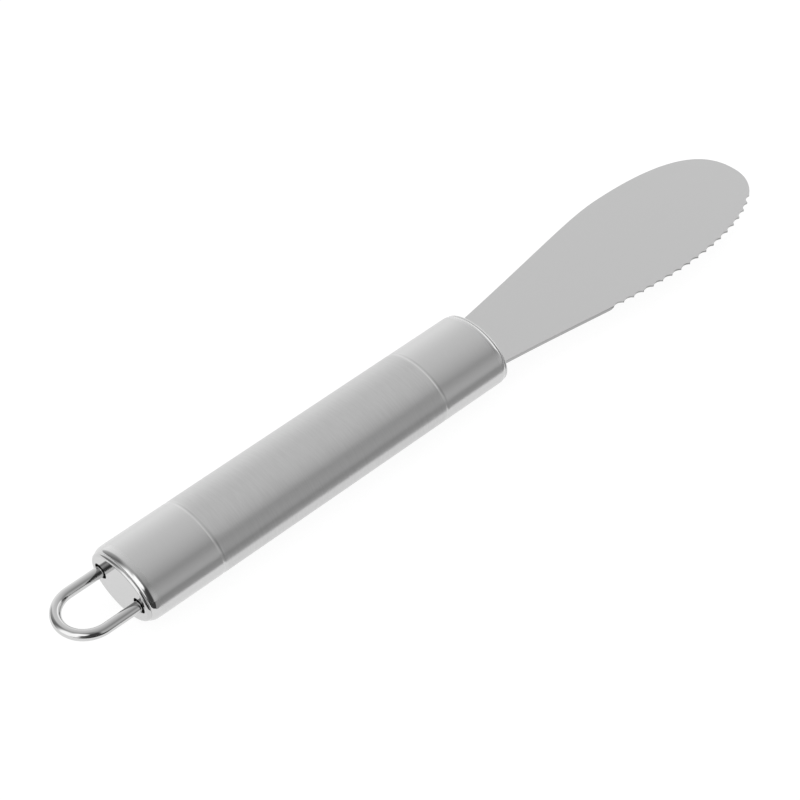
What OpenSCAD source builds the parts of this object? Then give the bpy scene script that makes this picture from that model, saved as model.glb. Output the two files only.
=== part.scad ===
// Butter knife with a hollow oval handle, a wire hanging loop and a part-serrated blade.
// Every length is in millimetres. The knife lies flat: +X runs from the loop to the blade's tip,
// +Y is the spine's side and +Z is up. The origin is on the table under the middle of the knife.
// Inside the modules, x is measured from the end cap's outer face along the handle's long axis.

/* [Handle] */
// Length of the handle from the face of one cap to the face of the other
handle_length = 115.5; // [100:0.5:130]
// Width of the oval section
handle_width = 24; // [22:0.5:28]
// Height of the oval section
handle_height = 17.5; // [15:0.5:20]
// Wall of the tube
tube_wall = 1.1; // [0.9:0.05:1.2]
// How far the tube's end at the loop is rolled in
lip_drop = 0.75; // [0.3:0.05:0.8]
// How far the tube's end at the blade is rolled in
front_lip_drop = 0.15; // [0.1:0.05:0.8]
// Radius of the rolled ends
lip_radius = 3; // [1.5:0.1:4]

/* [Rolled rings] */
// Distance of the ring at the loop's end from the end cap's face
loop_ring_distance = 22.5; // [15:0.5:30]
// Distance of the ring at the blade's end from the front cap's face
blade_ring_distance = 21; // [15:0.5:30]
// Width of each ring
ring_width = 1.2; // [1:0.1:2.4]
// Depth of each ring
ring_depth = 0.1; // [0.06:0.02:0.3]

/* [Caps] */
// Thickness of a cap's face, which stands on the end of the tube
cap_face = 0.9; // [0.8:0.05:1.4]
// Radius round the edge of the end cap's face
end_edge_radius = 0.85; // [0.4:0.05:0.85]
// Radius round the edge of the front cap's face
front_edge_radius = 0.5; // [0.3:0.05:0.85]
// Length of a cap's skirt inside the tube
skirt_length = 5; // [3:0.5:10]
// Wall of a cap's skirt
skirt_wall = 0.6; // [0.5:0.05:1]
// Clearance between a skirt and the tube
skirt_clearance = 0.03; // [0.02:0.01:0.1]

/* [Hanging loop] */
// Diameter of the wire
wire_diameter = 2.9; // [2:0.1:3.2]
// Distance from the centre of each leg to the side of the handle
leg_inset = 4.5; // [4.2:0.1:6]
// Straight length of each leg outside the end cap
leg_length = 9.4; // [4:0.2:20]
// Length of wire that shows behind a collar
leg_tail = 2.4; // [1.5:0.1:6]
// Length of each drawn collar, from the end cap's face
collar_length = 3; // [2:0.1:4.5]
// Wall of each collar
collar_wall = 0.6; // [0.4:0.05:0.8]
// Radius that leads into each collar
collar_lead = 0.2; // [0.1:0.05:0.4]
// Gap all round between the wire and a collar
wire_gap = 0.65; // [0.4:0.05:0.8]
// Size of the weld bead on each collar's end, next to the gap that it closes
loop_bead = 0.5; // [0.4:0.05:0.6]
// Clearance between the wire and its weld beads
bead_clearance = 0.02; // [0.01:0.01:0.05]

/* [Blade] */
// Length of the blade from the front cap to its tip
blade_length = 99; // [80:0.1:120]
// Furthest reach of the spine from the handle's long axis
spine_reach = 18.8; // [15:0.1:24]
// Furthest reach of the belly from the handle's long axis
belly_reach = 16.95; // [13:0.05:21]
// Reach of the spine where it meets the cap
spine_root = 9.1; // [7:0.1:10]
// Reach of the belly where it meets the cap
belly_root = 9.2; // [7:0.1:10]
// How far the foremost point of the tip lies to the spine's side
tip_offset = 0.7; // [-2:0.1:4]
// Thickness of the ground blade
blade_thickness = 1; // [0.8:0.1:1.1]

/* [Serration] */
// Length of plain edge between the front cap and the first cusp
plain_edge = 35.8; // [25:0.2:50]
// Length of plain edge between the last cusp and the foremost point
tip_edge = 12; // [8:0.2:20]
// Distance from cusp to cusp
scallop_pitch = 3.31; // [2.5:0.01:4.5]
// Depth of each scallop
scallop_depth = 0.65; // [0.3:0.05:0.8]
// Width of the flat left on each cusp
cusp_land = 0.24; // [0.1:0.02:0.4]
// Thickness left at the scallops' edge, because they are ground from below
ground_edge = 0.5; // [0.2:0.05:0.6]
// How far the grinding reaches in under each scallop
grind_reach = 0.9; // [0.5:0.1:1.4]

/* [Tang] */
// Length of the tang inside the handle
tang_length = 28; // [15:1:40]
// Width of the tang
tang_width = 12; // [8:0.5:14]
// Thickness of the tang and of the shoulder, as the sheet comes
sheet_thickness = 1.2; // [1.15:0.05:1.6]
// Length of the shoulder that stays unground in front of the cap
shoulder_length = 0.4; // [0.3:0.1:1]
// Clearance between the tang and its slot
slot_clearance = 0.05; // [0.03:0.01:0.1]
// Size of the weld bead on each side of the tang
tang_bead = 1.4; // [0.8:0.1:2]
// How far each bead stops short of the tang's edges
bead_margin = 0.8; // [0.5:0.1:2]

/* [Hidden] */
$fn = 96;

// Cuts run past what they cut by this much
overrun = 1;
// Straight steps along each curve of the blade's outline
curve_steps = 18;

half_width = handle_width / 2;
half_height = handle_height / 2;
wire_radius = wire_diameter / 2;
bow_radius = half_width - leg_inset;
collar_bore = wire_radius + wire_gap;
bead_bore = wire_radius + bead_clearance;
skirt_inset = tube_wall + skirt_clearance;
ring_radius = (pow(ring_width / 2, 2) + pow(ring_depth, 2)) / (2 * ring_depth);
middle_x = (handle_length + blade_length - leg_length - bow_radius - wire_radius) / 2;
middle_y = (spine_reach - belly_reach) / 2;

// The oval is four arcs, which meet on lines in this direction, given as shares of a line's length
joint_shares = [0.6, 0.8];
arc_distance = (half_width - half_height) / (joint_shares[0] + joint_shares[1] - 1);
end_radius = half_width - arc_distance * joint_shares[0];
side_radius = half_height + arc_distance * joint_shares[1];

// Where the widest points lie along the blade, as shares of its length
spine_crest_share = 0.634;
belly_crest_share = 0.622;
// How far the curves' handles reach, as shares of the run and of the rise or fall
spine_root_shares = [0.6, 0.61];
spine_crest_back_share = 0.18;
spine_crest_front_share = 0.91;
spine_tip_share = 0.42;
belly_root_shares = [0.44, 0.44];
belly_crest_back_share = 0.28;
belly_crest_front_share = 0.33;
belly_tip_share = 0.84;

spine_crest_run = blade_length * spine_crest_share;
belly_crest_run = blade_length * belly_crest_share;
root_x = handle_length;
tip_point = [root_x + blade_length, tip_offset];
spine_foot = [root_x, spine_root];
spine_crest = [root_x + spine_crest_run, spine_reach];
belly_foot = [root_x, -belly_root];
belly_crest = [root_x + belly_crest_run, -belly_reach];

spine_back = [
    spine_foot,
    spine_foot + [
        spine_crest_run * spine_root_shares[0],
        (spine_reach - spine_root) * spine_root_shares[1]
    ],
    spine_crest - [spine_crest_run * spine_crest_back_share, 0],
    spine_crest
];
spine_front = [
    spine_crest,
    spine_crest + [(blade_length - spine_crest_run) * spine_crest_front_share, 0],
    tip_point + [0, (spine_reach - tip_offset) * spine_tip_share],
    tip_point
];
belly_back = [
    belly_foot,
    belly_foot + [
        belly_crest_run * belly_root_shares[0],
        (belly_root - belly_reach) * belly_root_shares[1]
    ],
    belly_crest - [belly_crest_run * belly_crest_back_share, 0],
    belly_crest
];
belly_front = [
    belly_crest,
    belly_crest + [(blade_length - belly_crest_run) * belly_crest_front_share, 0],
    tip_point - [0, (belly_reach + tip_offset) * belly_tip_share],
    tip_point
];

function on_curve(c, t) =
    pow(1 - t, 3) * c[0] + 3 * pow(1 - t, 2) * t * c[1] + 3 * (1 - t) * pow(t, 2) * c[2] + pow(t, 3) * c[3];
function steps_of(c) = [for (i = [0 : curve_steps - 1]) on_curve(c, i / curve_steps)];
function backwards(list) = [for (i = [len(list) - 1 : -1 : 0]) list[i]];

spine_path = concat(steps_of(spine_back), steps_of(spine_front));
belly_path = concat(steps_of(belly_back), steps_of(belly_front), [tip_point]);

// Length of the belly's edge from the cap to each of its points
belly_lengths = [
    for (i = 0, run = 0; i < len(belly_path);
        run = run + (i + 1 < len(belly_path) ? norm(belly_path[i + 1] - belly_path[i]) : 0), i = i + 1) run
];
belly_length = belly_lengths[len(belly_lengths) - 1];
scallop_count = round((belly_length - plain_edge - tip_edge) / scallop_pitch);

function last_before(run) = max([for (i = [0 : len(belly_lengths) - 2]) if (belly_lengths[i] <= run) i]);
function on_belly(run) =
    let (i = last_before(run), part = (run - belly_lengths[i]) / (belly_lengths[i + 1] - belly_lengths[i]))
    belly_path[i] + (belly_path[i + 1] - belly_path[i]) * part;

// Puts a piece, built along the handle's long axis, where the knife lies on the table
module in_place() {
    translate([-middle_x, -middle_y, handle_height / 2]) children();
}

// Turns a half section, drawn as [distance from the axis, x], into a round body along x
module turned() {
    rotate([0, 90, 0]) rotate_extrude() children();
}

// One arc of the oval body, turned about the arc's centre and kept between its two joint lines
module arc_body(centre, radius, joint_a, joint_b) {
    reach = 2 * (arc_distance + half_width);
    intersection() {
        translate(centre) rotate_extrude() intersection() {
            translate([radius, 0]) children();
            translate([0, -overrun]) square([radius + overrun, handle_length + 2 * overrun]);
        }
        translate([0, 0, -overrun]) linear_extrude(handle_length + 2 * overrun)
            polygon([centre, centre + reach * joint_a, centre + reach * joint_b]);
    }
}

// Carries a section, drawn as [height over the handle's surface, x], round the oval
module oval_body() {
    along = joint_shares[0];
    across = joint_shares[1];
    rotate([0, 90, 0]) for (side = [-1, 1]) {
        end_centre = [0, side * along * arc_distance];
        arc_body(end_centre, end_radius, [across, side * along], [-across, side * along]) children();
        side_centre = [-side * across * arc_distance, 0];
        arc_body(side_centre, side_radius, [side * across, along], [side * across, -along]) children();
    }
}

// What an end that is rolled in by this drop loses from the tube's section
module lip_cut(drop) {
    lip_run = sqrt(pow(lip_radius, 2) - pow(lip_radius - drop, 2));
    difference() {
        translate([-lip_radius, cap_face - overrun]) square([lip_radius + overrun, lip_run + overrun]);
        translate([-lip_radius, cap_face + lip_run]) circle(lip_radius);
    }
}

module at_rings() {
    for (x = [loop_ring_distance, handle_length - blade_ring_distance])
        translate([ring_radius - ring_depth, x]) children();
}

module wall_section() {
    difference() {
        union() {
            translate([-tube_wall, cap_face]) square([tube_wall, handle_length - 2 * cap_face]);
            intersection() {
                at_rings() circle(ring_radius + tube_wall);
                translate([-2 * tube_wall, 0]) square([2 * tube_wall, handle_length]);
            }
        }
        at_rings() circle(ring_radius);
        lip_cut(lip_drop);
        translate([0, handle_length]) mirror([0, 1]) lip_cut(front_lip_drop);
    }
}

module handle_tube() {
    color("silver") in_place() oval_body() wall_section();
}

// A cap's face, as far in as the tube's end, with its rounded edge, and its skirt
module cap_section(drop, edge_radius) {
    difference() {
        translate([-side_radius, 0]) square([side_radius - drop, cap_face]);
        difference() {
            translate([-drop - edge_radius, -overrun]) square([edge_radius + overrun, edge_radius + overrun]);
            translate([-drop - edge_radius, edge_radius]) circle(edge_radius);
        }
    }
    translate([-skirt_inset - skirt_wall, cap_face / 2])
        square([skirt_wall, cap_face / 2 + skirt_length]);
}

// Puts something built along x at each leg of the loop
module at_legs() {
    for (side = [-1, 1]) translate([0, side * bow_radius, 0]) children();
}

module collar_opening() {
    translate([-overrun, 0, 0]) rotate([0, 90, 0])
        cylinder(h = collar_length + 2 * overrun, r = collar_bore);
    turned() difference() {
        translate([0, -overrun]) square([collar_bore + collar_lead, collar_lead + overrun]);
        translate([collar_bore + collar_lead, collar_lead]) circle(collar_lead);
    }
}

module end_cap() {
    color("gainsboro") in_place() difference() {
        union() {
            oval_body() cap_section(lip_drop, end_edge_radius);
            at_legs() translate([cap_face / 2, 0, 0]) rotate([0, 90, 0])
                cylinder(h = collar_length - cap_face / 2, r = collar_bore + collar_wall);
        }
        at_legs() collar_opening();
    }
}

module hanging_loop() {
    color("whitesmoke") in_place() {
        at_legs() translate([-leg_length, 0, 0]) rotate([0, 90, 0])
            cylinder(h = leg_length + collar_length + leg_tail, r = wire_radius);
        translate([-leg_length, 0, 0]) rotate([0, 0, 90])
            rotate_extrude(angle = 180) translate([bow_radius, 0]) circle(wire_radius);
    }
}

// A bead round the wire, which closes the gap and stands on the collar's end
module loop_welds() {
    color("darkgray") in_place() at_legs() turned() {
        translate([bead_bore, collar_length]) square([collar_bore - bead_bore, loop_bead]);
        translate([collar_bore, collar_length]) intersection() {
            square(loop_bead);
            circle(loop_bead);
        }
    }
}

module front_cap() {
    color("gainsboro") in_place() difference() {
        translate([handle_length, 0, 0]) mirror([1, 0, 0])
            oval_body() cap_section(front_lip_drop, front_edge_radius);
        translate([
            handle_length - cap_face - skirt_length,
            -tang_width / 2 - slot_clearance,
            -sheet_thickness / 2 - slot_clearance
        ])
            cube([
                cap_face + skirt_length + overrun,
                tang_width + 2 * slot_clearance,
                sheet_thickness + 2 * slot_clearance
            ]);
    }
}

module blade_outline() {
    polygon(concat(spine_path, backwards(belly_path)));
}

// A round cut right through the blade, which widens below the edge that the grinding leaves
module scallop_cut(cut_radius) {
    grind_height = blade_thickness - ground_edge;
    ground_radius = cut_radius + grind_reach;
    translate([0, 0, blade_thickness / 2 - ground_edge]) rotate_extrude() polygon([
        [0, -grind_height - overrun],
        [ground_radius, -grind_height - overrun],
        [ground_radius, -grind_height],
        [cut_radius, 0],
        [cut_radius, ground_edge + overrun],
        [0, ground_edge + overrun]
    ]);
}

// Every other scallop, placed on the chord between its two cusps, so that the cuts stay clear of each other
module scallops(first) {
    for (i = [first : 2 : scallop_count - 1]) {
        from = on_belly(plain_edge + i * scallop_pitch);
        to = on_belly(plain_edge + (i + 1) * scallop_pitch);
        chord = norm(to - from) - cusp_land;
        cut_radius = (pow(chord / 2, 2) + pow(scallop_depth, 2)) / (2 * scallop_depth);
        translate((from + to) / 2) rotate(atan2(to[1] - from[1], to[0] - from[0]))
            translate([0, scallop_depth - cut_radius]) scallop_cut(cut_radius);
    }
}

module blade() {
    color("lightgray") in_place() {
        difference() {
            difference() {
                linear_extrude(blade_thickness, center = true) blade_outline();
                scallops(0);
            }
            scallops(1);
        }
        linear_extrude(sheet_thickness, center = true) {
            intersection() {
                blade_outline();
                translate([handle_length, -handle_width]) square([shoulder_length, 2 * handle_width]);
            }
            translate([handle_length - tang_length, -tang_width / 2])
                square([tang_length + shoulder_length / 2, tang_width]);
        }
    }
}

// A bead above and below the tang, behind the face of the front cap
module tang_welds() {
    color("darkgray") in_place() for (side = [0, 1]) mirror([0, 0, side])
        translate([handle_length - cap_face, tang_width / 2 - bead_margin, sheet_thickness / 2])
            rotate([90, 0, 0]) linear_extrude(tang_width - 2 * bead_margin)
                polygon([[0, 0], [-tang_bead, 0], [0, tang_bead]]);
}

handle_tube();
end_cap();
hanging_loop();
loop_welds();
front_cap();
blade();
tang_welds();
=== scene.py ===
# Butter knife with a hollow oval handle and a hanging loop: its looks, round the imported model
import math

import bmesh
import bpy
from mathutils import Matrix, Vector
from mathutils.geometry import interpolate_bezier


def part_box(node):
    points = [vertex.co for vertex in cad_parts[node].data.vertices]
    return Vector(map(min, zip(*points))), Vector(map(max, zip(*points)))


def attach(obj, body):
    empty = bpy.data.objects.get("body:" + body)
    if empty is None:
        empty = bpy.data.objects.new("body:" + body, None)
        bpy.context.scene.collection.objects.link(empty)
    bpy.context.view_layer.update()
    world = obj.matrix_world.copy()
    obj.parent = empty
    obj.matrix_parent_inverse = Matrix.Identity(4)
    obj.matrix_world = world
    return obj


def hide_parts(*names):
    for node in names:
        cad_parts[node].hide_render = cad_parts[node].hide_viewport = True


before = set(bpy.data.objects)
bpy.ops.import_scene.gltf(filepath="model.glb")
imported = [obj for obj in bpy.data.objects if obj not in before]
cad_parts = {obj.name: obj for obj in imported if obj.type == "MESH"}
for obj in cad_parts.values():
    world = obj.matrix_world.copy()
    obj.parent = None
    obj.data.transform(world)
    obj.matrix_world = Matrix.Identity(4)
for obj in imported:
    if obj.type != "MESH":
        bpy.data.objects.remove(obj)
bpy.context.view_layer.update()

mm = 0.001

tubeLow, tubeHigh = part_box("handle_tube")
loopLow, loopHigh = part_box("hanging_loop")
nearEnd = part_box("end_cap")[0].x  # the end cap's face
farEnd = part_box("front_cap")[1].x  # the front cap's face
axisY = (tubeLow.y + tubeHigh.y) / 2
axisZ = (tubeLow.z + tubeHigh.z) / 2
halfWidth = (tubeHigh.y - tubeLow.y) / 2
halfHeight = (tubeHigh.z - tubeLow.z) / 2


# Small helpers for modelling

mergeDistance = 0.002 * mm
overrun = 1  # millimetres that a cutting tool runs past what it cuts


def deselectAll():
    if bpy.context.object and bpy.context.object.mode != "OBJECT":
        bpy.ops.object.mode_set(mode="OBJECT")
    bpy.ops.object.select_all(action="DESELECT")


def pick(piece):
    deselectAll()
    piece.select_set(True)
    bpy.context.view_layer.objects.active = piece


def editMode(piece, kind="EDGE", action="SELECT"):
    pick(piece)
    bpy.ops.object.mode_set(mode="EDIT")
    bpy.ops.mesh.select_mode(type=kind)
    bpy.ops.mesh.select_all(action=action)


def applyPlace(piece):
    pick(piece)
    bpy.ops.object.transform_apply(location=True, rotation=True, scale=True)


def applyModifier(piece, kind, **settings):
    pick(piece)
    modifier = piece.modifiers.new(kind.title(), kind)
    for name, value in settings.items():
        setattr(modifier, name, value)
    bpy.ops.object.modifier_apply(modifier=modifier.name)


def cutWith(piece, tool, operation="DIFFERENCE"):
    applyModifier(piece, "BOOLEAN", object=tool, operation=operation, solver="EXACT")
    bpy.data.objects.remove(tool)


def closeMesh(piece):
    pick(piece)
    bpy.ops.object.mode_set(mode="EDIT")
    bpy.ops.mesh.select_all(action="SELECT")
    bpy.ops.mesh.remove_doubles(threshold=mergeDistance)
    bpy.ops.mesh.normals_make_consistent(inside=False)
    bpy.ops.object.mode_set(mode="OBJECT")


def shade(piece, degrees=32):
    pick(piece)
    bpy.ops.object.shade_smooth_by_angle(angle=math.radians(degrees))
    applyModifier(piece, "WEIGHTED_NORMAL", mode="FACE_AREA", keep_sharp=True, weight=80)


def drawnOut(name, centreY, stations, sides, ends="filled"):
    # A ring of points is drawn out along x, from station to station: (x, half width, half height)
    deselectAll()
    x, width, height = stations[0]
    bpy.ops.mesh.primitive_circle_add(
        vertices=sides, radius=width, location=(x, centreY, axisZ), rotation=(0, math.pi / 2, 0))
    piece = bpy.context.object
    piece.name = name
    applyPlace(piece)
    editMode(piece)
    bpy.ops.transform.resize(value=(1, 1, height / width), center_override=(x, centreY, axisZ))
    if ends == "filled":
        bpy.ops.mesh.edge_face_add()
        bpy.ops.mesh.select_all(action="SELECT")
    for nextX, nextWidth, nextHeight in stations[1:]:
        if ends == "filled":
            bpy.ops.mesh.extrude_region_move(TRANSFORM_OT_translate={"value": (nextX - x, 0, 0)})
        else:
            bpy.ops.mesh.extrude_edges_move(TRANSFORM_OT_translate={"value": (nextX - x, 0, 0)})
        bpy.ops.transform.resize(
            value=(1, nextWidth / width, nextHeight / height), center_override=(nextX, centreY, axisZ))
        x, width, height = nextX, nextWidth, nextHeight
    if ends == "joined":
        bpy.ops.mesh.select_all(action="DESELECT")
        bpy.ops.mesh.select_non_manifold()
        bpy.ops.mesh.bridge_edge_loops()
    closeMesh(piece)
    return piece


def ovalStations(profile):
    # (x, inset) in millimetres, from the end cap's face and from the handle's surface
    return [(nearEnd + x * mm, halfWidth - inset * mm, halfHeight - inset * mm) for x, inset in profile]


def block(lowX, highX, middleY, width, height):
    # In millimetres, along x from the front cap's face and along y from the handle's axis
    deselectAll()
    bpy.ops.mesh.primitive_cube_add(
        size=1, location=(farEnd + (lowX + highX) / 2 * mm, axisY + middleY * mm, axisZ))
    piece = bpy.context.object
    piece.scale = ((highX - lowX) * mm, width * mm, height * mm)
    applyPlace(piece)
    return piece


# Handle tube: two rolled rings, both ends rolled in, an even wall
handle = {
    "sides": 192,
    "length": (farEnd - nearEnd) / mm,
    "capFace": 0.9,  # the tube starts behind the cap's face
    "wall": 1.1,
    "lipDrop": 0.75,  # at the loop's end
    "frontLipDrop": 0.2,
    "lipRadius": 3,
    "lipSteps": 8,
    "edgeRadius": 0.1,  # fine round at the seam
    "rings": (22.5, 94.5),
    "ringWidth": 1.2,
    "ringDepth": 0.1,
    "ringSteps": 8,  # on each side of a ring's middle
}


def ringLine(depth):
    # The two rolled rings, so far inside the tube's outer line
    line = []
    for ring in handle["rings"]:
        for step in range(-handle["ringSteps"], handle["ringSteps"] + 1):
            share = step / handle["ringSteps"]
            drop = handle["ringDepth"] * math.cos(share * math.pi / 2) ** 2
            line.append((ring + handle["ringWidth"] / 2 * share, depth + drop))
    return line


def lipLine(drop):
    # From the seam with the cap to where the tube has its full size
    start = handle["capFace"]
    radius = handle["lipRadius"]
    lipRun = math.sqrt(radius ** 2 - (radius - drop) ** 2)
    line = []
    for step in range(handle["lipSteps"] + 1):
        run = lipRun * (1 - step / handle["lipSteps"])
        line.append((start + lipRun - run, radius - math.sqrt(radius ** 2 - run ** 2)))
    edge = handle["edgeRadius"]
    line[0] = (start + 0.3 * edge, drop + 0.1 * edge)
    return [(start, drop + edge)] + line


def fromFront(line):
    # The same line, measured from the front cap's face
    return [(handle["length"] - x, inset) for x, inset in reversed(line)]


outerLine = lipLine(handle["lipDrop"]) + ringLine(0) + fromFront(lipLine(handle["frontLipDrop"]))
backX = handle["length"] - handle["capFace"]
innerLine = [(handle["capFace"], handle["wall"])] + ringLine(handle["wall"]) + [(backX, handle["wall"])]
handleTube = drawnOut(
    "handleTube", axisY, ovalStations(outerLine + innerLine[::-1]), handle["sides"], ends="joined")
shade(handleTube)
print("handle tube done")


# Caps: pressed, with a rounded edge that is smaller on the front cap
cap = {
    "edgeRadius": 0.85,
    "frontEdgeRadius": 0.7,
    "edgeSteps": 14,
    "seamRadius": 0.1,
    "skirtLength": 5,
    "skirtInset": 1.13,
    "skirtWall": 0.6,
    "collarBore": 2.1,
    "collarWall": 0.6,
    "collarLead": 0.2,
    "collarLength": 3,
    "collarEase": 0.15,  # at the collar's hidden end
    "collarSides": 64,
    "leadSteps": 10,
    "legOffset": 7.5,
    "slotWidth": 12.1,
    "slotHeight": 1.3,
    "slotTool": (-8, 2),  # from and to, along x from the front cap's face
}


def quarterRound(radius, inset, steps):
    # From a face's edge, at radius plus this inset, round to the inset itself
    angles = [math.pi / 2 * step / steps for step in range(steps + 1)]
    return [(radius * (1 - math.cos(a)), inset + radius - radius * math.sin(a)) for a in angles]


def capProfile(rimInset, radius):
    line = quarterRound(radius, rimInset, cap["edgeSteps"])
    back = handle["capFace"]
    seam = cap["seamRadius"]
    line += [(back - 0.4 * seam, rimInset + 0.1 * seam), (back, rimInset + seam)]
    inner = cap["skirtInset"]
    line += [(back, inner), (cap["skirtLength"] + back, inner)]
    line += [(cap["skirtLength"] + back, inner + cap["skirtWall"]), (back, inner + cap["skirtWall"])]
    return line


endProfile = capProfile(handle["lipDrop"], cap["edgeRadius"])
endCap = drawnOut("endCap", axisY, ovalStations(endProfile), handle["sides"])
frontProfile = fromFront(capProfile(handle["frontLipDrop"], cap["frontEdgeRadius"]))
frontCap = drawnOut("frontCap", axisY, ovalStations(frontProfile), handle["sides"])

slotLow, slotHigh = cap["slotTool"]
cutWith(frontCap, block(slotLow, slotHigh, 0, cap["slotWidth"], cap["slotHeight"]))
shade(frontCap)


def collarRound(name, centreY, line):
    # (x from the end cap's face, radius) in millimetres
    return drawnOut(name, centreY, [(nearEnd + x * mm, r * mm, r * mm) for x, r in line], cap["collarSides"])


for side in (-1, 1):
    legY = axisY + side * cap["legOffset"] * mm
    outer = cap["collarBore"] + cap["collarWall"]
    cutWith(endCap, collarRound("collar", legY, [
        (handle["capFace"] / 2, outer),
        (cap["collarLength"] - cap["collarEase"], outer),
        (cap["collarLength"], outer - cap["collarEase"]),
    ]), "UNION")
    cutWith(endCap, collarRound("opening", legY, [
        (-overrun, cap["collarBore"] + cap["collarLead"]),
        *quarterRound(cap["collarLead"], cap["collarBore"], cap["leadSteps"]),
        (cap["collarLength"] + overrun, cap["collarBore"]),
    ]))
shade(endCap)
print("caps done")


# Hanging loop: one length of round wire, bent to a U
loop = {"wire": 2.9, "sides": 64, "bendSteps": 64, "bowRadius": 7.5}

wireRadius = loop["wire"] / 2 * mm
bowRadius = loop["bowRadius"] * mm
bendX = loopLow.x + bowRadius + wireRadius
deselectAll()
bpy.ops.mesh.primitive_circle_add(
    vertices=loop["sides"], radius=wireRadius, location=(loopHigh.x, axisY + bowRadius, axisZ),
    rotation=(0, math.pi / 2, 0))
hangingLoop = bpy.context.object
hangingLoop.name = "hangingLoop"
applyPlace(hangingLoop)
editMode(hangingLoop)
bpy.ops.mesh.extrude_edges_move(TRANSFORM_OT_translate={"value": (bendX - loopHigh.x, 0, 0)})
bpy.ops.mesh.spin(
    steps=loop["bendSteps"], angle=-math.pi, center=(bendX, axisY, axisZ), axis=(0, 0, 1))
bpy.ops.mesh.extrude_edges_move(TRANSFORM_OT_translate={"value": (loopHigh.x - bendX, 0, 0)})
bpy.ops.mesh.select_all(action="DESELECT")
bpy.ops.mesh.select_non_manifold()
bpy.ops.mesh.edge_face_add()
closeMesh(hangingLoop)
shade(hangingLoop, 40)
print("hanging loop done")


# Blade: sheet cut to its outline, scalloped along the belly, with a shoulder and a tang
blade = {
    "length": 99,
    "spineReach": 18.8,
    "bellyReach": 16.95,
    "spineRoot": 9.1,
    "bellyRoot": 9.2,
    "tipOffset": 0.7,
    "thickness": 1,
    "curveSteps": 48,
    "edgeRound": 0.22,
    "plainEdge": 35.8,
    "tipEdge": 12,
    "pitch": 3.31,
    "scallopDepth": 0.65,
    "cuspLand": 0.24,
    "groundEdge": 0.5,
    "grindReach": 0.9,
    "tangLength": 28,
    "tangWidth": 12,
    "sheet": 1.2,
    "shoulder": 0.4,
    "toolHeight": 1,  # of the scallop tool above the ground edge, and below the sheet
    "toolSides": 96,
    "edgePoints": 200,  # along each curve of the belly
    # Shares of the run and of the rise or fall, as in the solids' source
    "spineCrest": 0.634,
    "spineRootShares": (0.6, 0.61),
    "spineCrestBack": 0.18,
    "spineCrestFront": 0.91,
    "spineTip": 0.42,
    "bellyCrest": 0.622,
    "bellyRootShares": (0.44, 0.44),
    "bellyCrestBack": 0.28,
    "bellyCrestFront": 0.33,
    "bellyTip": 0.84,
}


def bladePoint(x, y):
    return Vector((farEnd + x * mm, axisY + y * mm, axisZ))


spineRun = blade["length"] * blade["spineCrest"]
bellyRun = blade["length"] * blade["bellyCrest"]
spineRise = blade["spineReach"] - blade["spineRoot"]
bellyRise = blade["bellyReach"] - blade["bellyRoot"]
spineFront = (blade["length"] - spineRun) * blade["spineCrestFront"]
bellyFront = (blade["length"] - bellyRun) * blade["bellyCrestFront"]
tipUp = (blade["spineReach"] - blade["tipOffset"]) * blade["spineTip"]
tipDown = (blade["bellyReach"] + blade["tipOffset"]) * blade["bellyTip"]
spineShares = blade["spineRootShares"]
bellyShares = blade["bellyRootShares"]

# Each control point as (handle behind, point, handle in front), round the outline from the spine's foot
outline = [
    ((0, blade["spineRoot"] - 1), (0, blade["spineRoot"]),
     (spineRun * spineShares[0], blade["spineRoot"] + spineRise * spineShares[1])),
    ((spineRun * (1 - blade["spineCrestBack"]), blade["spineReach"]), (spineRun, blade["spineReach"]),
     (spineRun + spineFront, blade["spineReach"])),
    ((blade["length"], blade["tipOffset"] + tipUp), (blade["length"], blade["tipOffset"]),
     (blade["length"], blade["tipOffset"] - tipDown)),
    ((bellyRun + bellyFront, -blade["bellyReach"]), (bellyRun, -blade["bellyReach"]),
     (bellyRun * (1 - blade["bellyCrestBack"]), -blade["bellyReach"])),
    ((bellyRun * bellyShares[0], -blade["bellyRoot"] - bellyRise * bellyShares[1]), (0, -blade["bellyRoot"]),
     (0, -blade["bellyRoot"] + 1)),
]

deselectAll()
bpy.ops.curve.primitive_bezier_curve_add(location=(0, 0, 0))
bladeBody = bpy.context.object
bladeBody.name = "bladeBody"
bladeBody.data.dimensions = "3D"
bladeBody.data.resolution_u = blade["curveSteps"]
spline = bladeBody.data.splines[0]
spline.bezier_points.add(len(outline) - 2)
spline.use_cyclic_u = True
for point, (back, place, front) in zip(spline.bezier_points, outline):
    point.handle_left_type = point.handle_right_type = "FREE"
    point.co = bladePoint(*place)
    point.handle_left = bladePoint(*back)
    point.handle_right = bladePoint(*front)
bpy.ops.object.convert(target="MESH")
bladeBody = bpy.context.object
editMode(bladeBody)
bpy.ops.mesh.remove_doubles(threshold=0.01 * mm)
bpy.ops.transform.translate(value=(0, 0, -blade["thickness"] / 2 * mm))
bpy.ops.mesh.edge_face_add()
bpy.ops.mesh.extrude_region_move(TRANSFORM_OT_translate={"value": (0, 0, blade["thickness"] * mm)})
closeMesh(bladeBody)

# The outline's upper and lower edges are eased, apart from the root's
editMode(bladeBody, action="DESELECT")
edgeMesh = bmesh.from_edit_mesh(bladeBody.data)
for edge in edgeMesh.edges:
    level = abs(edge.verts[0].co.z - edge.verts[1].co.z) < 1e-6
    atRoot = all(abs(v.co.x - farEnd) < 0.01 * mm for v in edge.verts)
    edge.select_set(level and not atRoot)
bmesh.update_edit_mesh(bladeBody.data)
bpy.ops.mesh.bevel(offset=blade["edgeRound"] * mm, segments=3, affect="EDGES", clamp_overlap=True)
closeMesh(bladeBody)
print("blade blank done")

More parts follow.
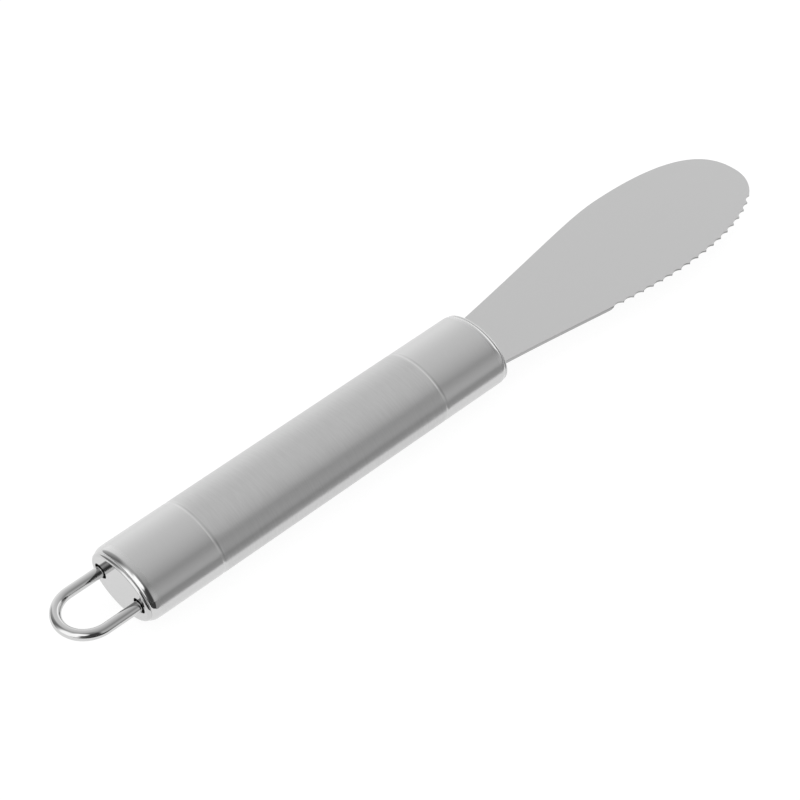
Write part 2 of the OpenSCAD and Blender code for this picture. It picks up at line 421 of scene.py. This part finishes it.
# The belly's edge, and the length along it to each of its points
bellyEdge = []
for (startHandle, start, _), (_, end, endHandle) in ((outline[4], outline[3]), (outline[3], outline[2])):
    curve = [bladePoint(*place) for place in (start, startHandle, endHandle, end)]
    bellyEdge += interpolate_bezier(*curve, blade["edgePoints"])[:-1]
bellyEdge.append(bladePoint(*outline[2][1]))
bellyLengths = [0]
for before, after in zip(bellyEdge, bellyEdge[1:]):
    bellyLengths.append(bellyLengths[-1] + (after - before).length)


def onBelly(run):
    i = max(i for i, length in enumerate(bellyLengths[:-1]) if length <= run)
    share = (run - bellyLengths[i]) / (bellyLengths[i + 1] - bellyLengths[i])
    return bellyEdge[i].lerp(bellyEdge[i + 1], share)


chord = (blade["pitch"] - blade["cuspLand"]) * mm
depth = blade["scallopDepth"] * mm
cutRadius = ((chord / 2) ** 2 + depth ** 2) / (2 * depth)
toolHeight = blade["toolHeight"] * mm
grindHeight = (blade["thickness"] - blade["groundEdge"]) * mm
grindTop = axisZ + (blade["thickness"] / 2 - blade["groundEdge"]) * mm
deselectAll()
bpy.ops.mesh.primitive_cylinder_add(
    vertices=blade["toolSides"], radius=cutRadius, depth=toolHeight,
    location=(0, 0, grindTop + toolHeight / 2))
scallopTool = bpy.context.object
scallopTool.name = "scallopTool"
applyPlace(scallopTool)
editMode(scallopTool, "FACE", "DESELECT")
toolMesh = bmesh.from_edit_mesh(scallopTool.data)
for face in toolMesh.faces:
    face.select_set(face.normal.z < -0.5)
bmesh.update_edit_mesh(scallopTool.data)
bpy.ops.mesh.extrude_region_move(TRANSFORM_OT_translate={"value": (0, 0, -grindHeight)})
widen = (cutRadius + blade["grindReach"] * mm) / cutRadius
bpy.ops.transform.resize(value=(widen, widen, 1), center_override=(0, 0, grindTop - grindHeight))
bpy.ops.mesh.extrude_region_move(TRANSFORM_OT_translate={"value": (0, 0, -toolHeight)})
closeMesh(scallopTool)

scallopCount = round((bellyLengths[-1] / mm - blade["plainEdge"] - blade["tipEdge"]) / blade["pitch"])
for first in (0, 1):
    copies = []
    for i in range(first, scallopCount, 2):
        start = onBelly((blade["plainEdge"] + i * blade["pitch"]) * mm)
        end = onBelly((blade["plainEdge"] + (i + 1) * blade["pitch"]) * mm)
        along = (end - start).normalized()
        outward = Vector((along.y, -along.x, 0))
        centre = (start + end) / 2 + outward * (cutRadius - depth)
        pick(scallopTool)
        bpy.ops.object.duplicate(linked=False)
        copy = bpy.context.object
        copy.location = (centre.x, centre.y, 0)
        applyPlace(copy)
        copies.append(copy)
    deselectAll()
    for copy in copies:
        copy.select_set(True)
    bpy.context.view_layer.objects.active = copies[0]
    bpy.ops.object.join()
    cutWith(bladeBody, copies[0])
bpy.data.objects.remove(scallopTool)
print("scallops done:", scallopCount)

# The shoulder stays as thick as the sheet, and the tang goes on into the handle
for lowX, highX, lowY, highY in (
        (0, blade["shoulder"], -blade["bellyRoot"], blade["spineRoot"]),
        (-blade["tangLength"], blade["shoulder"] / 2, -blade["tangWidth"] / 2, blade["tangWidth"] / 2)):
    plate = block(lowX, highX, (lowY + highY) / 2, highY - lowY, blade["sheet"])
    cutWith(bladeBody, plate, "UNION")
shade(bladeBody, 30)
print("blade done")


# Materials

def linear(hexText):
    # An sRGB hex value as Blender's linear colour
    shares = [int(hexText[i:i + 2], 16) / 255 for i in (1, 3, 5)]
    return tuple(s / 12.92 if s <= 0.04045 else ((s + 0.055) / 1.055) ** 2.4 for s in shares) + (1,)


def addNode(tree, kind, settings=None, inputs=None):
    # Adds a node with its settings, and gives each input a value or a link
    node = tree.nodes.new(kind)
    for name, value in (settings or {}).items():
        setattr(node, name, value)
    for name, value in (inputs or {}).items():
        if isinstance(value, bpy.types.NodeSocket):
            tree.links.new(value, node.inputs[name])
        else:
            node.inputs[name].default_value = value
    return node


def compute(tree, operation, *values):
    return addNode(tree, "ShaderNodeMath", {"operation": operation}, dict(enumerate(values))).outputs[0]


def smoothStep(tree, value, start, full):
    return addNode(tree, "ShaderNodeMapRange", {"interpolation_type": "SMOOTHSTEP"}, {
        "Value": value, "From Min": start, "From Max": full}).outputs["Result"]


def newMaterial(name):
    material = bpy.data.materials.new(name)
    material.use_nodes = True
    material.node_tree.nodes.clear()
    tree = material.node_tree
    place = addNode(tree, "ShaderNodeTexCoord").outputs["Object"]
    return material, tree, place


def finishMaterial(tree, **inputs):
    shader = addNode(tree, "ShaderNodeBsdfPrincipled", None, inputs)
    addNode(tree, "ShaderNodeOutputMaterial", None, {"Surface": shader.outputs["BSDF"]})


def finishGlow(tree, colour, strength):
    shader = addNode(tree, "ShaderNodeEmission", None, {"Color": colour, "Strength": strength})
    addNode(tree, "ShaderNodeOutputMaterial", None, {"Surface": shader.outputs["Emission"]})


def grey(level):
    return (level, level, level, 1)


def parts(tree, vector):
    return addNode(tree, "ShaderNodeSeparateXYZ", None, {"Vector": vector}).outputs


def mix(tree, share, first, second):
    return addNode(tree, "ShaderNodeMixRGB", None, {
        "Fac": share, "Color1": first, "Color2": second}).outputs["Color"]


def grain(tree, place, size, detail=2, rough=0.5):
    # Noise whose spots have this size in millimetres, along x, y and z
    scaled = addNode(tree, "ShaderNodeMapping", None, {
        "Vector": place, "Scale": tuple(1 / (s * mm) for s in size)})
    return addNode(tree, "ShaderNodeTexNoise", None, {
        "Vector": scaled.outputs["Vector"], "Scale": 1, "Detail": detail, "Roughness": rough}).outputs["Fac"]


def spread(tree, value, low, high):
    # Turns noise, which lies round a half, into low to high
    return addNode(tree, "ShaderNodeMapRange", None, {
        "Value": value, "From Min": 0.3, "From Max": 0.7, "To Min": low, "To Max": high}).outputs["Result"]


def alongRamp(tree, place, low, high, stops):
    # Three values that change along x, from low to high: each stop is (millimetres from low, values)
    share = addNode(tree, "ShaderNodeMapRange", None, {
        "Value": parts(tree, place)["X"], "From Min": low, "From Max": high}).outputs["Result"]
    ramp = addNode(tree, "ShaderNodeValToRGB", None, {"Fac": share})
    elements = ramp.color_ramp.elements
    positions = [x * mm / (high - low) for x, _ in stops]
    for position in positions[1:-1]:
        elements.new(position)
    for element, position, (_, values) in zip(elements, positions, stops):
        element.position = position
        element.color = values + (1,)
    return addNode(tree, "ShaderNodeSeparateColor", None, {0: ramp.outputs["Color"]}).outputs


# Stainless tube. Between the rings it is brushed round the handle, so each reflection spreads along it and
# fine lines run across it. Outside them it is satin, the rings have a satin finish of their own, and the
# rolled ends are polished
tubeFinish = {
    "colour": "#cfcfcf",
    "line": (0.35, 5, 5),
    "polished": (0.1, 0.0, 0.0),  # roughness, anisotropy, share of brush lines
    "satin": (0.3, 0.85, 0.15),
    "ring": (0.3, 0.75, 0.2),
    "brushed": (0.38, 0.9, 1.0),
    "fade": 0.5,
}
finishEdges = [(2.8, "satin")]
for ring, before, after in zip(handle["rings"], ("satin", "brushed"), ("brushed", "satin")):
    finishEdges += [(ring - 0.8, "ring"), (ring + 0.4, after)]
finishEdges += [(handle["length"] - 2, "polished")]
finishStops = [(0, tubeFinish["polished"])]
current = "polished"
for x, name in finishEdges:
    finishStops += [(x, tubeFinish[current]), (x + tubeFinish["fade"], tubeFinish[name])]
    current = name
finishStops.append((handle["length"], tubeFinish[current]))

tubeSteel, tree, place = newMaterial("brushedStainlessTube")
roughness, anisotropy, lineShare = alongRamp(tree, place, nearEnd, farEnd, finishStops)
brushLines = grain(tree, place, tubeFinish["line"], 3, 0.6)
lineShade = compute(tree, "MULTIPLY_ADD", spread(tree, brushLines, -0.04, 0.04), lineShare, 1)
tubeTint = addNode(tree, "ShaderNodeVectorMath", {"operation": "SCALE"}, {
    0: linear(tubeFinish["colour"])[:3], "Scale": lineShade}).outputs["Vector"]
tubeTangent = addNode(tree, "ShaderNodeTangent", {"direction_type": "RADIAL", "axis": "X"})
tubeBump = addNode(tree, "ShaderNodeBump", None, {
    "Height": compute(tree, "MULTIPLY", brushLines, lineShare), "Strength": 0.25, "Distance": 0.02 * mm})
finishMaterial(tree, **{
    "Base Color": tubeTint, "Metallic": 1, "Roughness": compute(tree, "MULTIPLY", roughness, lineShade),
    "Anisotropic": anisotropy, "Anisotropic Rotation": 0.25,
    "Tangent": tubeTangent.outputs["Tangent"], "Normal": tubeBump.outputs["Normal"]})

# Polished pressed caps: nearly a mirror, with a faint haze from the buffing wheel
capSteel, tree, place = newMaterial("polishedStainlessCap")
haze = grain(tree, place, (1.5, 1.5, 1.5), 3)
finishMaterial(tree, **{
    "Base Color": linear("#c7c7c7"), "Metallic": 1, "Roughness": spread(tree, haze, 0.07, 0.11)})

# Mirror-polished wire: clear streaks along it
wireSteel, tree, place = newMaterial("mirrorStainlessWire")
drawMarks = grain(tree, place, (3, 0.4, 0.4), 2)
finishMaterial(tree, **{
    "Base Color": linear("#cdcdcd"), "Metallic": 1, "Roughness": spread(tree, drawMarks, 0.03, 0.05)})

# Satin sheet: tumbled, so that it is even in every direction, with a fine mottle; its cut edges are painted
# darker, a painted shade for the shaded floor they reflect
bladeSteel, tree, place = newMaterial("satinStainlessSheet")
mottle = grain(tree, place, (0.5, 0.5, 0.5), 4, 0.6)
# Painted shade: the cut edges, off the flat faces, get a darker base colour that stands in for the shaded
# floor they reflect
offMiddle = compute(tree, "ABSOLUTE", compute(tree, "SUBTRACT", parts(tree, place)["Z"], axisZ))
isFlat = smoothStep(tree, offMiddle, 0.41 * mm, 0.496 * mm)
bladeTintWithPaintedEdgeShade = mix(tree, isFlat, linear("#b2b2b2"), linear("#cfcfcf"))
finishMaterial(tree, **{
    "Base Color": bladeTintWithPaintedEdgeShade, "Metallic": 1, "Roughness": spread(tree, mottle, 0.33, 0.37)})

# Weld metal, left as it sets: dull grey with a coarse ripple
weldSteel, tree, place = newMaterial("asWeldedStainless")
ripple = grain(tree, place, (0.6, 0.6, 0.6), 3)
weldBump = addNode(tree, "ShaderNodeBump", None, {"Height": ripple, "Strength": 0.5, "Distance": 0.05 * mm})
finishMaterial(tree, **{
    "Base Color": linear("#9a9a98"), "Metallic": 1, "Roughness": spread(tree, ripple, 0.45, 0.6),
    "Normal": weldBump.outputs["Normal"]})

for piece, node, slot, material in (
        (handleTube, "handle_tube", "handle_steel", tubeSteel),
        (endCap, "end_cap", "cap_steel", capSteel),
        (frontCap, "front_cap", "cap_steel", capSteel),
        (hangingLoop, "hanging_loop", "wire_steel", wireSteel),
        (bladeBody, "blade", "blade_steel", bladeSteel)):
    piece.data.materials.clear()
    piece.data.materials.append(material)
    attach(piece, "root")
    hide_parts(node)
for node in ("loop_welds", "tang_welds"):
    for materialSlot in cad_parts[node].material_slots:
        materialSlot.material = weldSteel
print("materials done")


# Studio: a pale floor, soft light from all round, and a camera at the photograph's angle
studio = {
    "floorSize": 60,
    "floorGlow": 0.86,
    "floorPaint": 0.2,
    "domeRadius": 6,
    "glow": 1.6,
}

deselectAll()
bpy.ops.mesh.primitive_plane_add(size=studio["floorSize"], location=(0, 0, -0.02 * mm))
floor = bpy.context.object
floor.name = "floor"
floorPaint, tree, _ = newMaterial("paleFloor")
lightPath = addNode(tree, "ShaderNodeLightPath")
seen = compute(
    tree, "MAXIMUM", lightPath.outputs["Is Camera Ray"], lightPath.outputs["Is Glossy Ray"])
seen = compute(tree, "MAXIMUM", seen, lightPath.outputs["Is Transmission Ray"])
glow = addNode(tree, "ShaderNodeEmission", None, {"Strength": studio["floorGlow"]})
shadowed = addNode(tree, "ShaderNodeBsdfDiffuse", None, {"Color": grey(studio["floorPaint"])})
bright = addNode(tree, "ShaderNodeAddShader", None, {0: glow.outputs[0], 1: shadowed.outputs[0]})
plain = addNode(tree, "ShaderNodeBsdfDiffuse", None, {"Color": linear("#f0f0f0")})
mixed = addNode(tree, "ShaderNodeMixShader", None, {
    0: seen, 1: plain.outputs[0], 2: bright.outputs[0]})
addNode(tree, "ShaderNodeOutputMaterial", None, {"Surface": mixed.outputs[0]})
floor.data.materials.append(floorPaint)

# The dome over the knife is what its metal shows. Ahead of the loop the light is bright behind the knife
# and darker on the camera's side; behind the loop a white card stands between a dark one and a grey one.
# Stops: angle and brightness, with the angle from straight up towards the camera, or from behind the loop
# towards the spine's side
domeStops = {
    "ahead": ((-90, 1.19), (-60, 1.0), (-38, 0.83), (-10, 0.69), (10, 0.55), (38, 0.34), (58, 0.53),
              (76, 0.64), (90, 0.55)),
    "behind": ((-90, 0.15), (-78, 0.07), (-55, 0.065), (-42, 0.11), (-32, 0.2), (-20, 1.5), (24, 1.5),
               (36, 0.6), (48, 0.2), (60, 0.24), (72, 0.42), (82, 0.55), (90, 0.75)),
    "behindTop": ((-90, 0.33), (-60, 0.28), (-30, 0.38), (0, 0.52), (30, 0.5), (60, 0.6), (90, 0.68)),
}

# White cards, high up behind the loop and far beyond the tip: the brightness, then where each edge starts and
# where the card is full, as parts of the direction to it
whiteCards = (
    (1.6, (("X", -0.36, -0.46), ("Y", -0.6, -0.48), ("Y", 0.12, -0.05), ("Z", 0.5, 0.65))),
    (1.35, (("X", 0.7, 0.82), ("Y", -0.45, -0.3))),
)


def angleRamp(tree, angle, stops):
    share = addNode(tree, "ShaderNodeMapRange", None, {
        "Value": angle, "From Min": -math.pi / 2, "From Max": math.pi / 2}).outputs["Result"]
    ramp = addNode(tree, "ShaderNodeValToRGB", None, {"Fac": share})
    elements = ramp.color_ramp.elements
    for degrees, _ in stops[1:-1]:
        elements.new((degrees + 90) / 180)
    for element, (degrees, level) in zip(elements, stops):
        element.position = (degrees + 90) / 180
        element.color = grey(level / studio["glow"])
    return ramp.outputs["Color"]


def glowOnly(piece):
    # Seen by the metal only
    piece.visible_camera = False
    piece.visible_diffuse = False
    piece.visible_shadow = False


deselectAll()
bpy.ops.mesh.primitive_uv_sphere_add(segments=96, ring_count=48, radius=studio["domeRadius"])
dome = bpy.context.object
dome.name = "studioDome"
bpy.ops.object.mode_set(mode="EDIT")
bpy.ops.mesh.select_all(action="SELECT")
bpy.ops.mesh.bisect(plane_co=(0, 0, 0), plane_no=(0, 0, 1), clear_inner=True)
bpy.ops.object.mode_set(mode="OBJECT")
domePaint, tree, place = newMaterial("domePaint")
direction = addNode(tree, "ShaderNodeVectorMath", {"operation": "NORMALIZE"}, {0: place}).outputs["Vector"]
axes = parts(tree, direction)
towardsLoop = compute(tree, "MULTIPLY", axes["X"], -1)
towardsCamera = compute(tree, "MULTIPLY", axes["Y"], -1)
ahead = angleRamp(tree, compute(tree, "ARCTAN2", towardsCamera, axes["Z"]), domeStops["ahead"])
turn = compute(tree, "ARCTAN2", axes["Y"], compute(tree, "MAXIMUM", towardsLoop, 0.0001))
isTop = smoothStep(tree, axes["Z"], 0.67, 0.93)
behind = mix(
    tree, isTop, angleRamp(tree, turn, domeStops["behind"]), angleRamp(tree, turn, domeStops["behindTop"]))
isBehind = smoothStep(tree, towardsLoop, 0, 0.2)
whole = mix(tree, isBehind, ahead, behind)
for level, edges in whiteCards:
    inCard = 1
    for axis, start, full in edges:
        inCard = compute(tree, "MULTIPLY", inCard, smoothStep(tree, axes[axis], start, full))
    whole = mix(tree, inCard, whole, grey(level / studio["glow"]))
finishGlow(tree, whole, studio["glow"])
dome.data.materials.append(domePaint)
glowOnly(dome)

# Cards that lie in front of the knife give the handle its dark line and the loop its dark streaks. In
# millimetres: from and to along x, and where the card starts on the camera's side; then its brightness
floorCards = {
    "greyCard": (nearEnd / mm, 2000, -26, 0.38),
    "blackCard": (-2000, nearEnd / mm, -28, 0.06),
}
cardDepth = 2000
cardHeight = 0.1
for name, (lowX, highX, nearY, level) in floorCards.items():
    deselectAll()
    bpy.ops.mesh.primitive_plane_add(
        size=1, location=((lowX + highX) / 2 * mm, (nearY - cardDepth / 2) * mm, cardHeight * mm))
    card = bpy.context.object
    card.name = name
    card.scale = ((highX - lowX) * mm, cardDepth * mm, 1)
    applyPlace(card)
    cardPaint, tree, _ = newMaterial(name + "Paint")
    finishGlow(tree, grey(level), 1)
    card.data.materials.append(cardPaint)
    glowOnly(card)

world = bpy.data.worlds.new("studioWorld")
bpy.context.scene.world = world
world.use_nodes = True
world.node_tree.nodes["Background"].inputs["Color"].default_value = (1, 1, 1, 1)
world.node_tree.nodes["Background"].inputs["Strength"].default_value = 1

view = {
    "fromCap": (-174.18, -322.998, 412.072),  # millimetres, from the middle of the end cap's face
    "turn": (45.21024, 3.00481, -42.14306),  # degrees
    "lens": 104.70728,
    "sensor": 36,
}
cameraData = bpy.data.cameras.new("camera")
cameraData.lens = view["lens"]
cameraData.sensor_width = view["sensor"]
camera = bpy.data.objects.new("camera", cameraData)
bpy.context.scene.collection.objects.link(camera)
camera.location = Vector((nearEnd, axisY, axisZ)) + Vector(view["fromCap"]) * mm
camera.rotation_euler = [math.radians(v) for v in view["turn"]]
bpy.context.scene.camera = camera
bpy.context.scene.view_settings.view_transform = "Standard"
print("studio done")

bpy.context.view_layer.update()
